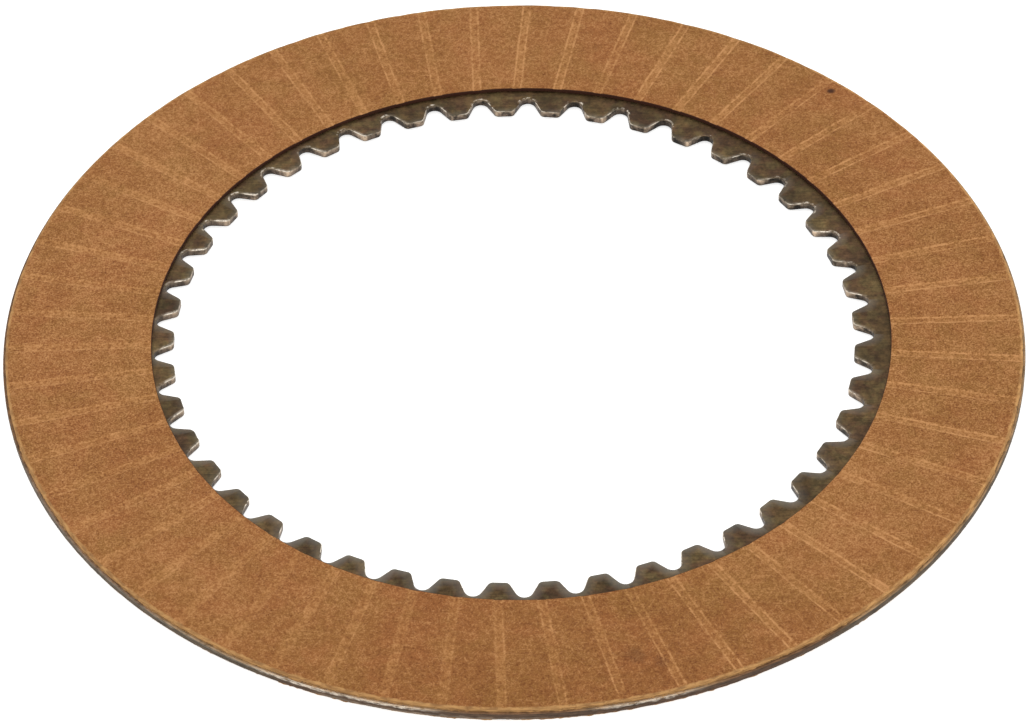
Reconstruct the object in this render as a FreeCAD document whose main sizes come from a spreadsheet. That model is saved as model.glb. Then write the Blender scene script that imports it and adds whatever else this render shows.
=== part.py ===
import FreeCAD, Part
import math
import os

import Sketcher

# Internally splined clutch plate: a stamped steel core with a ring of teeth round its bore,
# and a thin fibrous friction facing bonded to each side.
# The origin is on the plate's axis, in the working face of the lower facing. +Z is up.
# All lengths are in millimetres and all angles in degrees.

SIZES = {
    # steel core
    "plate_diameter": 168.0,
    "core_thickness": 1.25,
    # internal teeth, cut as the spaces between them, each with a fully rounded root
    "tooth_count": 45,
    "pitch_diameter": 114.3,
    "tip_height": 1.15,
    "root_depth": 2.1,
    "space_width": 3.7,
    "flank_slope": 25.0,
    "tip_round": 0.9,
    "first_space_angle": 6.96,
    # friction facings, set in from the steel's rim and from the tooth roots
    "facing_thickness": 0.65,
    "rim_step": 0.4,
    "root_margin": 1.55,
    "bore_offset_across": 1.2,
    "bore_offset_along": 0.4,
    "facing_edge_break": 0.2,
    # oil grooves, which all point at one centre beside the plate's axis
    "groove_count": 56,
    "groove_width": 1.5,
    "groove_depth": 0.1,
    "first_groove_angle": 7.56,
    "groove_centre_across": -4.4,
    "groove_centre_along": -0.05,
}

# Heights of the three layers above the origin, as formulas of the sheet
CORE_BOTTOM = "sizes.facing_thickness"
CORE_TOP = "sizes.facing_thickness + sizes.core_thickness"
PLATE_TOP = "2 * sizes.facing_thickness + sizes.core_thickness"

# Radii of the two rings, as formulas of the sheet
PLATE_RADIUS = "sizes.plate_diameter / 2"
TIP_RADIUS = "sizes.pitch_diameter / 2 - sizes.tip_height"
ROOT_RADIUS = "sizes.pitch_diameter / 2 + sizes.root_depth"
FACING_RADIUS = "sizes.plate_diameter / 2 - sizes.rim_step"
FACING_BORE_RADIUS = "sizes.pitch_diameter / 2 + sizes.root_depth + sizes.root_margin"

# How far the cutter of a tooth space reaches inside the tips, where there is no metal
CUTTER_REACH = 2.0

# Two heights closer than this are the same height
TOUCH = 1e-6

# Sketcher's names for a point of an element, and for the sketch's own origin and axis
START, END, CENTRE = 1, 2, 3
AXIS_X = -1
ORIGIN = (-1, START)


def make_sheet(doc):
    """Put every driving size in its own named cell."""
    sheet = doc.addObject("Spreadsheet::Sheet", "sizes")
    for row, (name, value) in enumerate(SIZES.items(), start=1):
        sheet.set(f"A{row}", name)
        sheet.set(f"B{row}", str(value))
        sheet.setAlias(f"B{row}", name)
    doc.recompute()
    return sheet


def make_body(doc, name):
    """Start an empty body whose label names its file."""
    body = doc.addObject("PartDesign::Body", name)
    body.Label = name
    return body


def level_sketch(body, name, height, across="0", along="0", turn="0"):
    """Add a horizontal sketch at a height, shifted sideways and turned by formulas of the sheet."""
    plane = next(item for item in body.Origin.OriginFeatures if item.Role == "XY_Plane")
    sketch = body.newObject("Sketcher::SketchObject", name)
    sketch.AttachmentSupport = [(plane, "")]
    sketch.MapMode = "FlatFace"
    sketch.AttachmentOffset = FreeCAD.Placement(
        FreeCAD.Vector(0, 0, 0), FreeCAD.Rotation(FreeCAD.Vector(0, 0, 1), 1)
    )
    sketch.setExpression("AttachmentOffset.Base.x", f"({across}) * 1 mm")
    sketch.setExpression("AttachmentOffset.Base.y", f"({along}) * 1 mm")
    sketch.setExpression("AttachmentOffset.Base.z", f"({height}) * 1 mm")
    sketch.setExpression("AttachmentOffset.Rotation.Angle", f"({turn}) * 1 deg")
    return sketch


def bind(sketch, constraint, formula):
    """Add a constraint with a size and tie it to a formula of the sheet."""
    index = sketch.addConstraint(constraint)
    sketch.setExpression(f"Constraints[{index}]", formula)
    return index


def add_circle(sketch, radius):
    """Draw a circle round the sketch's origin, with a formula for its radius."""
    first_guess = SIZES["pitch_diameter"] / 2
    circle = sketch.addGeometry(
        Part.Circle(FreeCAD.Vector(0, 0, 0), FreeCAD.Vector(0, 0, 1), first_guess), False
    )
    bind(sketch, Sketcher.Constraint("Radius", circle, first_guess), radius)
    sketch.addConstraint(Sketcher.Constraint("Coincident", circle, CENTRE, *ORIGIN))
    return circle


def pad_up(body, name, sketch, thickness_cell):
    """Raise a sketch into a plate."""
    pad = body.newObject("PartDesign::Pad", name)
    pad.Profile = sketch
    pad.setExpression("Length", f"sizes.{thickness_cell}")
    sketch.Visibility = False
    return pad


def cut(body, name, sketch, depth, upward):
    """Cut a sketch into the body, upward or downward from the sketch's level."""
    pocket = body.newObject("PartDesign::Pocket", name)
    pocket.Profile = sketch
    pocket.setExpression("Length", depth)
    pocket.Reversed = upward
    sketch.Visibility = False
    return pocket


def repeat_round(body, name, feature, axis_sketch, count_cell):
    """Repeat a cut evenly round the upright axis of a sketch, and make that the body's result."""
    pattern = body.newObject("PartDesign::PolarPattern", name)
    pattern.Originals = [feature]
    pattern.Axis = (axis_sketch, ["N_Axis"])
    pattern.Angle = 360
    pattern.setExpression("Occurrences", f"sizes.{count_cell}")
    body.Tip = pattern
    return pattern


def mirrored(point):
    """Give the point's image across the sketch's X axis."""
    return FreeCAD.Vector(point.x, -point.y, 0)


def arc_between(centre, first, last):
    """Draw the shorter arc round a centre from one point to another, going anticlockwise."""
    radius = (first - centre).Length
    angles = [math.atan2(p.y - centre.y, p.x - centre.x) for p in (first, last)]
    circle = Part.Circle(centre, FreeCAD.Vector(0, 0, 1), radius)
    return Part.ArcOfCircle(circle, *angles)


def space_points():
    """Work out the upper half of a tooth space as a first guess for its sketch."""
    tip = SIZES["pitch_diameter"] / 2 - SIZES["tip_height"]
    root = SIZES["pitch_diameter"] / 2 + SIZES["root_depth"]
    slope = math.radians(SIZES["flank_slope"])
    half_width = SIZES["space_width"] / 2
    pitch_x = math.sqrt((SIZES["pitch_diameter"] / 2) ** 2 - half_width**2)
    pitch_point = FreeCAD.Vector(pitch_x, half_width, 0)
    along = FreeCAD.Vector(math.cos(slope), -math.sin(slope), 0)
    into_tooth = FreeCAD.Vector(math.sin(slope), math.cos(slope), 0)
    flank_distance = pitch_point.dot(into_tooth)

    # the root arc is centred on the space's middle line and touches both flanks
    root_centre_x = (root - flank_distance) / (1 - math.sin(slope))
    root_centre = FreeCAD.Vector(root_centre_x, 0, 0)
    # the tip's rounding touches the flank and the circle through the tips
    reach = flank_distance + SIZES["tip_round"]
    round_distance = math.sqrt((tip + SIZES["tip_round"]) ** 2 - reach**2)
    round_centre = along * round_distance + into_tooth * reach
    return {
        "pitch": pitch_point,
        "round_centre": round_centre,
        "tip": round_centre * (tip / round_centre.Length),
        "flank_low": round_centre - into_tooth * SIZES["tip_round"],
        "flank_high": root_centre + into_tooth * (root - root_centre_x),
        "root_centre": root_centre,
        "root": FreeCAD.Vector(root, 0, 0),
    }


def draw_tooth_space(sketch):
    """Draw one space between two teeth, symmetric about the sketch's X axis."""
    upper = space_points()
    lower = {name: mirrored(point) for name, point in upper.items()}
    inner = FreeCAD.Vector(upper["tip"].x - CUTTER_REACH, upper["tip"].y, 0)

    def add(shape, construction=False):
        return sketch.addGeometry(shape, construction)

    def constrain(*arguments):
        sketch.addConstraint(Sketcher.Constraint(*arguments))

    # outline: the closing line, one side, the root and the other side
    closing = add(Part.LineSegment(mirrored(inner), inner))
    mouth = add(Part.LineSegment(inner, upper["tip"]))
    corner = add(arc_between(upper["round_centre"], upper["tip"], upper["flank_low"]))
    flank = add(Part.LineSegment(upper["flank_low"], upper["flank_high"]))
    root = add(arc_between(upper["root_centre"], lower["flank_high"], upper["flank_high"]))
    flank_2 = add(Part.LineSegment(lower["flank_high"], lower["flank_low"]))
    corner_2 = add(arc_between(lower["round_centre"], lower["flank_low"], lower["tip"]))
    mouth_2 = add(Part.LineSegment(lower["tip"], mirrored(inner)))
    # construction: the radius through the rounding's centre, and the points that set width and depth
    tip_radius = add(Part.LineSegment(FreeCAD.Vector(0, 0, 0), upper["round_centre"]), True)
    width_point = add(Part.Point(upper["pitch"]), True)
    depth_point = add(Part.Point(upper["root"]), True)

    constrain("Coincident", closing, END, mouth, START)
    constrain("Coincident", mouth, END, corner, START)
    constrain("Tangent", corner, END, flank, START)
    constrain("Tangent", flank, END, root, END)
    constrain("Coincident", root, START, flank_2, START)
    constrain("Coincident", flank_2, END, corner_2, START)
    constrain("Coincident", corner_2, END, mouth_2, START)
    constrain("Coincident", mouth_2, END, closing, START)
    constrain("Coincident", tip_radius, START, *ORIGIN)
    constrain("Coincident", tip_radius, END, corner, CENTRE)
    constrain("PointOnObject", corner, START, tip_radius)
    constrain("PointOnObject", width_point, START, flank)
    constrain("PointOnObject", depth_point, START, root)
    constrain("PointOnObject", depth_point, START, AXIS_X)
    constrain("PointOnObject", root, CENTRE, AXIS_X)
    constrain("Horizontal", mouth)
    constrain("Vertical", flank, END, flank_2, START)
    constrain("Symmetric", closing, END, closing, START, AXIS_X)
    constrain("Symmetric", corner, START, corner_2, END, AXIS_X)
    constrain("Symmetric", corner, END, corner_2, START, AXIS_X)
    constrain("Equal", corner, corner_2)

    def size(formula, *arguments):
        bind(sketch, Sketcher.Constraint(*arguments), formula)

    size("sizes.tip_round", "Radius", corner, SIZES["tip_round"])
    size(
        f"{TIP_RADIUS} + sizes.tip_round",
        "Distance", tip_radius, upper["round_centre"].Length,
    )
    size(ROOT_RADIUS, "DistanceX", *ORIGIN, depth_point, START, upper["root"].x)
    size(
        "sizes.flank_slope",
        "Angle", flank, START, AXIS_X, START, math.radians(SIZES["flank_slope"]),
    )
    size(
        "sqrt((sizes.pitch_diameter / 2) ^ 2 - (sizes.space_width / 2) ^ 2)",
        "DistanceX", *ORIGIN, width_point, START, upper["pitch"].x,
    )
    size("sizes.space_width / 2", "DistanceY", *ORIGIN, width_point, START, upper["pitch"].y)
    size(f"{TIP_RADIUS} - {CUTTER_REACH}", "DistanceX", *ORIGIN, closing, END, inner.x)


def make_core_plate(doc):
    """Stamped steel ring with internal teeth."""
    body = make_body(doc, "core_plate")
    blank = level_sketch(body, "core_blank", CORE_BOTTOM)
    add_circle(blank, PLATE_RADIUS)
    add_circle(blank, TIP_RADIUS)
    pad_up(body, "core_ring", blank, "core_thickness")
    space = level_sketch(body, "tooth_space", CORE_TOP, turn="sizes.first_space_angle")
    draw_tooth_space(space)
    first_space = cut(body, "first_space", space, "sizes.core_thickness", upward=False)
    repeat_round(body, "all_spaces", first_space, space, "tooth_count")
    return body


def make_facing(doc, name, bottom, working_face, faces_up):
    """Friction ring with an offset bore, and shallow straight grooves in its working face."""
    body = make_body(doc, name)
    ring = level_sketch(body, f"{name}_disc_outline", bottom)
    add_circle(ring, FACING_RADIUS)
    disc = pad_up(body, f"{name}_disc", ring, "facing_thickness")
    break_rim(doc, body, disc, faces_up)

    bore = level_sketch(
        body, f"{name}_bore_outline", bottom, "sizes.bore_offset_across", "sizes.bore_offset_along"
    )
    add_circle(bore, FACING_BORE_RADIUS)
    cut(body, f"{name}_bore", bore, "sizes.facing_thickness", upward=True)

    groove = level_sketch(
        body,
        f"{name}_groove",
        working_face,
        "sizes.groove_centre_across",
        "sizes.groove_centre_along",
        "sizes.first_groove_angle",
    )
    draw_groove(groove)
    first_groove = cut(body, f"{name}_first_groove", groove, "sizes.groove_depth", upward=not faces_up)
    repeat_round(body, f"{name}_grooves", first_groove, groove, "groove_count")
    return body


def break_rim(doc, body, disc, faces_up):
    """Take the sharp corner off the outer rim of the working face."""
    doc.recompute()
    box = disc.Shape.BoundBox
    level = box.ZMax if faces_up else box.ZMin
    rim = next(
        f"Edge{number}"
        for number, edge in enumerate(disc.Shape.Edges, start=1)
        if abs(edge.BoundBox.ZMin - level) < TOUCH and abs(edge.BoundBox.ZMax - level) < TOUCH
    )
    chamfer = body.newObject("PartDesign::Chamfer", f"{body.Name}_rim")
    chamfer.Base = (disc, [rim])
    chamfer.setExpression("Size", "sizes.facing_edge_break")
    body.Tip = chamfer


def draw_groove(sketch):
    """Draw one groove as a strip that runs from inside the bore to beyond the outer rim."""
    half = SIZES["groove_width"] / 2
    near = SIZES["pitch_diameter"] / 4
    far = SIZES["plate_diameter"] / 2 + SIZES["groove_width"]
    corners = [
        FreeCAD.Vector(near, -half, 0),
        FreeCAD.Vector(far, -half, 0),
        FreeCAD.Vector(far, half, 0),
        FreeCAD.Vector(near, half, 0),
    ]
    ends = corners[1:] + corners[:1]
    sides = [sketch.addGeometry(Part.LineSegment(*pair), False) for pair in zip(corners, ends)]
    for side, following in zip(sides, sides[1:] + sides[:1]):
        sketch.addConstraint(Sketcher.Constraint("Coincident", side, END, following, START))
    lower_side, outer_end, upper_side, inner_end = sides
    sketch.addConstraint(Sketcher.Constraint("Horizontal", lower_side))
    sketch.addConstraint(Sketcher.Constraint("Horizontal", upper_side))
    sketch.addConstraint(Sketcher.Constraint("Vertical", inner_end))
    sketch.addConstraint(
        Sketcher.Constraint("Symmetric", outer_end, START, outer_end, END, AXIS_X)
    )
    bind(
        sketch,
        Sketcher.Constraint("DistanceY", outer_end, START, outer_end, END, 2 * half),
        "sizes.groove_width",
    )
    # the two ends stay clear of both rims in every direction from the groove centre
    bind(
        sketch,
        Sketcher.Constraint("DistanceX", *ORIGIN, lower_side, START, near),
        "sizes.pitch_diameter / 4",
    )
    bind(
        sketch,
        Sketcher.Constraint("DistanceX", *ORIGIN, lower_side, END, far),
        f"{PLATE_RADIUS} + sizes.groove_width"
        " + sqrt(sizes.groove_centre_across ^ 2 + sizes.groove_centre_along ^ 2)",
    )


def check_document(doc, bodies):
    """Stop with a plain message where a feature or a solid has failed."""
    for item in doc.Objects:
        if "Invalid" in item.State or "Error" in item.State:
            raise RuntimeError(f"{item.Name} failed: {item.State}")
    for body in bodies:
        shape = body.Shape
        if shape.isNull() or not shape.isValid() or len(shape.Solids) != 1:
            raise RuntimeError(f"{body.Label} isn't one valid solid")


def main():
    doc = FreeCAD.newDocument("clutch_plate")
    make_sheet(doc)
    bodies = [
        make_core_plate(doc),
        make_facing(doc, "upper_facing", CORE_TOP, PLATE_TOP, faces_up=True),
        make_facing(doc, "lower_facing", "0", "0", faces_up=False),
    ]
    doc.recompute()
    check_document(doc, bodies)
    os.makedirs("parts", exist_ok=True)
    for body in bodies:
        body.Shape.exportStep(f"parts/{body.Label}.step")
        print(body.Label, "volume", round(body.Shape.Volume, 2), "box", body.Shape.BoundBox)


main()
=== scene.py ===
"""Splined friction plate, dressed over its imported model.

A stamped steel core with 45 internal teeth carries a fibrous facing on each side.
Each CAD node is modelled again with its finer edges, and takes its finish from nodes
that read object coordinates, so nothing slides when the part is seen from elsewhere.
Lengths are in metres and angles in radians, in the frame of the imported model.
"""

import math
import random
from functools import partial, reduce
from types import SimpleNamespace

import bmesh
import bpy
from bpy.props import FloatProperty, FloatVectorProperty, IntProperty, PointerProperty
from mathutils import Matrix, Vector, noise


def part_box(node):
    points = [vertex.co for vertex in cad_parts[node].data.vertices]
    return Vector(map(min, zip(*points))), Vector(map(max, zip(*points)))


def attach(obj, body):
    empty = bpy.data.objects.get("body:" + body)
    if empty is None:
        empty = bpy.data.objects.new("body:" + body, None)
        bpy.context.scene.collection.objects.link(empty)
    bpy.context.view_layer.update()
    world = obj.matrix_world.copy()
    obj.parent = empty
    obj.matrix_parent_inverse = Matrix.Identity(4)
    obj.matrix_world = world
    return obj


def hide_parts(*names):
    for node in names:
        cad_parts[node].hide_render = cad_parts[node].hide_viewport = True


bl_info = {
    "name": "Splined Friction Plate",
    "version": (1, 0, 0),
    "blender": (4, 5, 0),
    "location": "3D View > Sidebar > Friction Plate",
    "description": "Steel core with internal teeth, two grooved facings and a studio",
    "category": "Add Mesh",
}

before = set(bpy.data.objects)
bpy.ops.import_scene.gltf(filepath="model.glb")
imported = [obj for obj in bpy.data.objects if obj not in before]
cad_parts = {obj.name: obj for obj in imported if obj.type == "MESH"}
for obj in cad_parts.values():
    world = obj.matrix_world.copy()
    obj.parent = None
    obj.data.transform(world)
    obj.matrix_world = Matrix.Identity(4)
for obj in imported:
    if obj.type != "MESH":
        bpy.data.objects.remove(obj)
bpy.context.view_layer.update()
CORE_LOW, CORE_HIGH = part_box("core_plate")
UPPER_LOW, UPPER_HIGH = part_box("upper_facing")
LOWER_LOW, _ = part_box("lower_facing")
MIDDLE_HEIGHT = (CORE_LOW.z + CORE_HIGH.z) / 2

MM = 0.001
MERGE = 1e-6
SMOOTH_UP_TO = math.radians(50)
TIP_STEPS, CORNER_STEPS, FLANK_STEPS, ROOT_STEPS = 4, 5, 4, 6
STEPS_PER_GROOVE = 24
Z_AXIS = Vector((0, 0, 1))


def srgb(red, green, blue):
    """Turns a colour in steps of 0 to 255 into the linear colour that nodes expect."""

    def linear(step):
        share = step / 255
        return share / 12.92 if share <= 0.04045 else ((share + 0.055) / 1.055) ** 2.4

    return (linear(red), linear(green), linear(blue))


def length(name, description, millimetres):
    """A length that the sidebar shows in the scene's units."""
    return FloatProperty(
        name=name,
        description=description,
        default=millimetres * MM,
        unit="LENGTH",
        subtype="DISTANCE",
        precision=5,
    )


def angle(name, description, degrees):
    """An angle that the sidebar shows in degrees."""
    return FloatProperty(
        name=name,
        description=description,
        default=math.radians(degrees),
        unit="ROTATION",
        subtype="ANGLE",
    )


def colour(name, description, red, green, blue):
    """A colour swatch."""
    return FloatVectorProperty(
        name=name,
        description=description,
        default=srgb(red, green, blue),
        subtype="COLOR",
        size=3,
        min=0.0,
        max=1.0,
    )


class CoreSizes(bpy.types.PropertyGroup):
    """Sizes of the stamped steel core."""

    tooth_count: IntProperty(name="Teeth", description="Teeth round the bore", default=45, min=3)
    rim_radius: length("Rim radius", "Outside radius of the core, as packed", CORE_HIGH.x / MM)
    pitch_radius: length("Pitch radius", "Where the tooth space has its named width", 57.15)
    tip_radius: length("Tip radius", "Circle that the tooth tips lie on", 56.0)
    root_radius: length("Root radius", "Circle that the tooth spaces reach", 59.25)
    space_width: length("Space width", "Width of a tooth space at the pitch radius", 3.7)
    flank_slope: angle("Flank slope", "Lean of a flank from the middle of its space", 25.0)
    tip_round: length("Tip rounding", "Radius of the corners of a tooth tip", 0.9)
    first_space: angle("First space", "Turn of the first tooth space from +X", 6.96)
    edge_roll: length("Rolled edge", "Rounding that the die leaves on the upper edges", 0.19)
    burr_side: length("Lower edge", "Rounding of the edges on the burr side", 0.07)
    wall_wander: length("Wall wander", "How far the broken wall wanders in and out", 0.035)
    nick_depth: length("Nick depth", "Depth of the knocks on the upper edges", 0.16)
    nick_count: IntProperty(name="Nicks", description="Knocks on the teeth", default=34, min=0)


class FacingSizes(bpy.types.PropertyGroup):
    """Sizes of the two bonded facings."""

    rim_radius: length("Rim radius", "Outside radius of a facing", 83.6)
    bore_radius: length("Bore radius", "Inside radius of a facing", 60.8)
    bore_across: length("Bore across", "How far the bore sits off the axis along X", 1.2)
    bore_along: length("Bore along", "How far the bore sits off the axis along Y", 0.4)
    shoulder: length("Shoulder", "Rounding of the outer edge of the working face", 0.3)
    bore_break: length("Bore edge", "Rounding of the inner edge of the working face", 0.12)
    groove_count: IntProperty(name="Grooves", description="Grooves round a face", default=56)
    groove_width: length("Groove width", "Width of a groove at the working face", 1.5)
    groove_slope: length("Groove slope", "Width of each sloping side of a groove", 0.18)
    groove_depth: length("Groove depth", "Depth of a groove", 0.1)
    first_groove: angle("First groove", "Turn of the first groove from +X", 7.56)
    groove_across: length("Groove centre across", "X of the point that the grooves run to", -4.4)
    groove_along: length("Groove centre along", "Y of the point that the grooves run to", -0.05)
    rag: length("Rag", "How far the cut edges wander", 0.09)
    fray: length("Fray", "How far loose fibres stand out of the lower border", 0.26)


class StudioSizes(bpy.types.PropertyGroup):
    """Camera, lamps and floor."""

    lens: FloatProperty(name="Lens", description="Focal length", default=188.372, unit="CAMERA")
    lift: angle("Camera lift", "Height of the line of sight above the floor", 43.977548)
    roll: angle("Camera roll", "Turn of the camera about its line of sight", 1.021928)
    distance: length("Camera distance", "From the camera to its target", 883.43)
    target_across: length("Target across", "X of the point the camera looks at", 0.274)
    target_along: length("Target along", "Y of the point the camera looks at", -7.0845)
    floor_radius: length("Floor radius", "Half the width of the floor", 3000.0)
    sky_level: FloatProperty(name="Sky level", description="Light from all round", default=0.85)
    front_power: FloatProperty(name="Front lamp", description="Watts", default=2.4, unit="POWER")
    back_power: FloatProperty(name="Back lamp", description="Watts", default=1.0, unit="POWER")


class PlateColours(bpy.types.PropertyGroup):
    """Colours of the facings, the steel and the floor."""

    facing: colour("Facing", "Resin bonded fibre", 153, 100, 50)
    facing_red: colour("Facing, red patches", "Redder patches of the fibre", 159, 99, 52)
    facing_ochre: colour("Facing, ochre patches", "Yellower patches of the fibre", 149, 102, 48)
    facing_dark: colour("Facing, dark", "Resin between the fibres", 111, 58, 16)
    facing_light: colour("Facing, light", "Pale fibres on the face", 202, 146, 93)
    groove: colour("Groove", "Fresh fibre in the grooves", 180, 126, 70)
    cut_edge: colour("Cut edge", "Fibre where the facing was cut", 196, 148, 92)
    cut_dark: colour("Cut edge, dark layers", "Darker layers of the cut edge", 152, 110, 66)
    # Also drawn at the foot of the facings' rim as painted shade where they meet the steel.
    burnt: colour("Burnt bore", "Scorched wall of the facing's bore", 58, 27, 12)
    steel_olive: colour("Steel, oiled", "Oily rolled surface", 91, 71, 44)
    steel_brown: colour("Steel, brown", "Brown stains", 82, 59, 41)
    steel_green: colour("Steel, green", "Greenish patches", 95, 80, 50)
    steel_tip: colour("Steel, tips", "Rubbed steel near the tooth tips", 104, 98, 84)
    steel_sheen: colour("Steel, sheen", "Sky seen in the drooping edges", 134, 130, 122)
    # Also the colour of painted highlights along the edges.
    steel_bright: colour("Steel, bright", "Burnished edges", 244, 232, 214)
    steel_wall: colour("Steel, wall", "Sheared wall", 128, 112, 95)
    rim_red: colour("Rim, reddish", "Rusty oiled parts of the rim", 86, 65, 49)
    rim_grey: colour("Rim, grey", "Olive grey parts of the rim", 92, 78, 62)
    ledge_red: colour("Ledge, reddish", "Oiled parts of the ledge", 118, 86, 58)
    ledge_dusty: colour("Ledge, dusty", "Parts of the ledge with fibre dust on them", 164, 133, 97)
    # Also painted shade on the lower part of the tooth walls.
    steel_torn: colour("Steel, torn wall", "Lower, torn part of the wall", 92, 79, 68)
    floor: colour("Floor", "Studio floor", 232, 232, 230)


def sizes_of(context):
    """The three groups of sizes and the colours, which live on the scene."""
    scene = context.scene
    return scene.plate_core, scene.plate_facing, scene.plate_studio, scene.plate_colours


# Materials


class Net:
    """Adds nodes to one tree and joins them. Its noises read one position."""

    def __init__(self, tree):
        self.nodes = tree.nodes
        self.links = tree.links
        self.position = None

    def fill(self, node, values):
        """Sets or joins a node's inputs."""
        for key, value in values.items():
            if isinstance(value, bpy.types.NodeSocket):
                self.links.new(value, node.inputs[key])
            else:
                node.inputs[key].default_value = value
        return node

    def add(self, kind, values=None, **settings):
        """Adds a node, sets it, and sets or joins its inputs."""
        node = self.nodes.new(kind)
        for name, value in settings.items():
            setattr(node, name, value)
        return self.fill(node, values or {})

    def group(self, name, values):
        """Places a node group and gives its outputs."""
        node = self.add("ShaderNodeGroup", node_tree=bpy.data.node_groups[name])
        return self.fill(node, values).outputs

    def math(self, operation, *values, clamp=False):
        """A Math node's value."""
        return self.add(
            "ShaderNodeMath", dict(enumerate(values)), operation=operation, use_clamp=clamp
        ).outputs["Value"]

    def plus(self, *values):
        """The sum of some values."""
        return reduce(partial(self.math, "ADD"), values)

    def minus(self, first, second):
        """The first value less the second."""
        return self.math("SUBTRACT", first, second)

    def times(self, *values):
        """The product of some values."""
        return reduce(partial(self.math, "MULTIPLY"), values)

    def vector(self, operation, *values):
        """A Vector Math node's vector."""
        return self.add(
            "ShaderNodeVectorMath", dict(enumerate(values)), operation=operation
        ).outputs["Vector"]

    def parts(self, vector):
        """The three numbers of a vector."""
        return self.add("ShaderNodeSeparateXYZ", {0: vector}).outputs

    def size(self, across, along):
        """Length of a flat vector."""
        flat = self.add("ShaderNodeCombineXYZ", {"X": across, "Y": along}).outputs[0]
        return self.add("ShaderNodeVectorMath", {0: flat}, operation="LENGTH").outputs["Value"]

    def mix(self, share, first, second):
        """Two values mixed by a mask."""
        values = {0: share, 2: first, 3: second}
        return self.add("ShaderNodeMix", values, data_type="FLOAT").outputs[0]

    def blend(self, share, first, second):
        """Two colours mixed by a mask."""
        node = self.add("ShaderNodeMix", {0: share}, data_type="RGBA")
        for key, tone in ((6, first), (7, second)):
            joined = isinstance(tone, bpy.types.NodeSocket)
            self.fill(node, {key: tone if joined else (*tone, 1.0)})
        return node.outputs[2]

    def tint(self, tone, gain):
        """A colour made lighter or darker by one value."""
        grey = self.add("ShaderNodeCombineXYZ", {"X": gain, "Y": gain, "Z": gain}).outputs[0]
        return self.vector("MULTIPLY", tone, grey)

    def ease(self, value, low, high, start=0.0, end=1.0, kind="SMOOTHSTEP"):
        """A value carried from one range to another, soft at both ends."""
        return self.add(
            "ShaderNodeMapRange",
            {"Value": value, "From Min": low, "From Max": high, "To Min": start, "To Max": end},
            interpolation_type=kind,
        ).outputs["Result"]

    def ramp(self, value, low, high, start=0.0, end=1.0):
        """A value carried in proportion from one range to another."""
        return self.ease(value, low, high, start, end, "LINEAR")

    def grain(self, scale, detail=2.0, roughness=0.5, distortion=0.0, place=None):
        """Plain noise, near 0.5 on average."""
        values = {
            "Vector": self.position if place is None else place,
            "Scale": scale,
            "Detail": detail,
            "Roughness": roughness,
            "Distortion": distortion,
        }
        return self.add("ShaderNodeTexNoise", values).outputs["Fac"]

    def streaks(self, scale, detail, roughness, turn=0.0):
        """Noise that is turned about Z and stretched."""
        values = {"Vector": self.position, "Angle": turn}
        turned = self.add("ShaderNodeVectorRotate", values, rotation_type="Z_AXIS").outputs[0]
        place = self.add("ShaderNodeMapping", {"Vector": turned, "Scale": scale}).outputs[0]
        return self.grain(1.0, detail, roughness, place=place)

    def ring(self):
        """Radius, angle and height of the position."""
        return self.group("Ring position", {"Position": self.position})

    def distance(self, across, along):
        """Distance from an upright axis through a place on the plate."""
        values = {"Position": self.position, "Centre": (across, along, 0)}
        return self.group("Ring position", values)["Radius"]

    def band(self, value, start, end, softness):
        """A mask that is 1 between two values and fades over a softness."""
        values = {"Value": value, "From": start, "To": end, "Softness": softness}
        return self.group("Soft band", values)["Mask"]

    def pattern(self, name, shift=(0, 0, 0), **values):
        """The mask of a noise group, moved by a shift."""
        place = self.vector("ADD", self.position, shift)
        return self.group(name, {"Position": place, **values})["Mask"]


def new_group(name, vectors, numbers, outputs):
    """Starts a node group that turns named vectors and numbers into named numbers."""
    tree = bpy.data.node_groups.new(name, "ShaderNodeTree")
    for in_out, kind, titles in (
        ("INPUT", "NodeSocketVector", vectors),
        ("INPUT", "NodeSocketFloat", numbers),
        ("OUTPUT", "NodeSocketFloat", outputs),
    ):
        for title in titles:
            tree.interface.new_socket(title, in_out=in_out, socket_type=kind)
    net = Net(tree)
    given = net.add("NodeGroupInput").outputs
    net.position = given.get("Position")
    return net, given, net.add("NodeGroupOutput")


def ring_position_group():
    """Radius, angle in degrees and height of a point about an upright axis."""
    net, given, result = new_group(
        "Ring position", ("Position", "Centre"), (), ("Radius", "Angle", "Height")
    )
    offset = net.parts(net.vector("SUBTRACT", given["Position"], given["Centre"]))
    turn = net.math("DEGREES", net.math("ARCTAN2", offset["Y"], offset["X"]))
    radius = net.size(offset["X"], offset["Y"])
    net.fill(result, {"Radius": radius, "Angle": turn, "Height": offset["Z"]})


def soft_band_group():
    """A mask that is 1 between two values and fades over a named softness."""
    net, given, result = new_group("Soft band", (), ("Value", "From", "To", "Softness"), ("Mask",))
    value, start, end, soft = (given[name] for name in ("Value", "From", "To", "Softness"))
    rise = net.ease(value, net.minus(start, soft), net.plus(start, soft))
    fall = net.ease(value, net.minus(end, soft), net.plus(end, soft), 1.0, 0.0)
    net.fill(result, {"Mask": net.times(rise, fall)})


def mottle_group():
    """Soft cloudy patches from 0 to 1."""
    net, given, result = new_group("Mottle", ("Position",), ("Scale", "Low", "High"), ("Mask",))
    cloud = net.grain(given["Scale"], 3.0, 0.55, 0.3)
    net.fill(result, {"Mask": net.ease(cloud, given["Low"], given["High"])})


def fleck_group():
    """Small uneven flecks, thicker in some places than in others."""
    net, given, result = new_group(
        "Flecks", ("Position",), ("Scale", "Cut", "Edge", "Clustering"), ("Mask",)
    )
    fine = net.grain(given["Scale"], 2.0, 0.6, 0.4)
    cluster = net.grain(net.times(given["Scale"], 0.11))
    level = net.plus(fine, net.times(net.minus(cluster, 0.5), given["Clustering"]))
    mask = net.ease(level, given["Cut"], net.plus(given["Cut"], given["Edge"]))
    net.fill(result, {"Mask": mask})


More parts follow.
